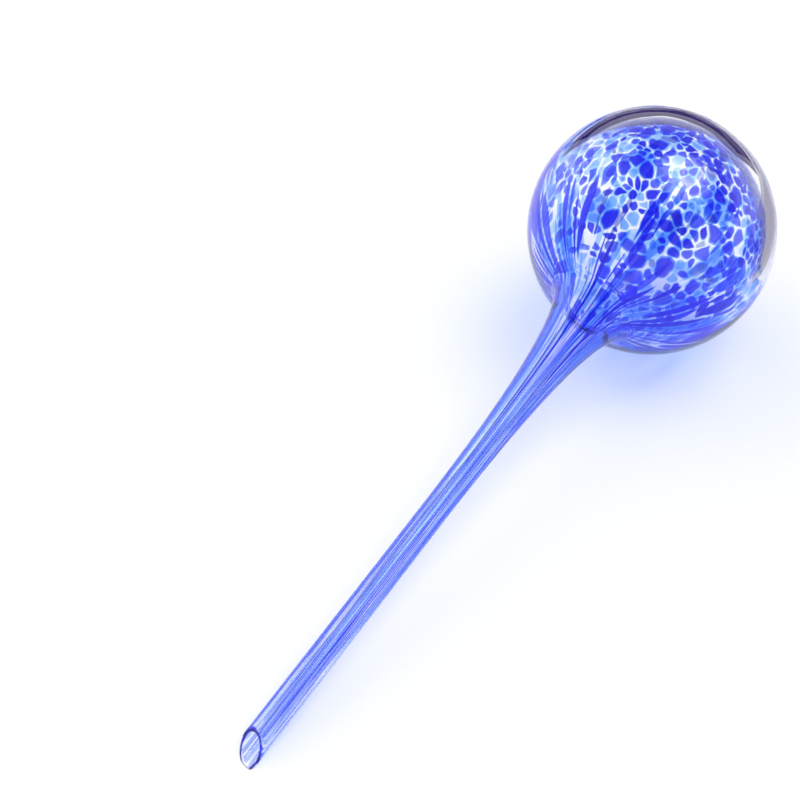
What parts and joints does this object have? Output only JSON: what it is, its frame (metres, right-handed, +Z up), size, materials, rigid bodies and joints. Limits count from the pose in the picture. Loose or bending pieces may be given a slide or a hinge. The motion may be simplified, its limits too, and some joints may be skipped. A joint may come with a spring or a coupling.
{
  "type": "watering globe",
  "caption": "Hand-blown glass watering globe: a hollow ball of blue frit in clear glass on a long hollow stem with a slanted mouth, pushed into soil to water a plant.",
  "frame": {"origin": "centre of the stem's slanted mouth, on the axis", "axes": "+X along the axis from the mouth of the stem to the crown of the globe, +Z up as the globe lies on a table, with the slanted mouth facing up"},
  "size_m": [0.2634, 0.08, 0.08],
  "materials": {
    "clear_glass": "clear blown glass, fire polished",
    "cobalt_glass": "transparent cobalt blue frit, fused smooth",
    "azure_glass": "thin transparent azure frit, fused smooth",
    "seal_glass": "fused seam, slightly dark"
  },
  "bodies": {
    "root": {"globe_inner_bubble": "clear_glass", "globe_frit_chips": "cobalt_glass", "globe_outer_casing": "clear_glass", "neck_cobalt_streaks": "cobalt_glass", "neck_azure_streaks": "azure_glass", "neck_clear_streaks": "clear_glass", "neck_seal_ring": "seal_glass", "stem_inner_tube": "clear_glass", "stem_cobalt_stripes": "cobalt_glass", "stem_azure_stripes": "azure_glass", "stem_clear_stripes": "clear_glass", "stem_outer_casing": "clear_glass"}
  },
  "joints": []
}
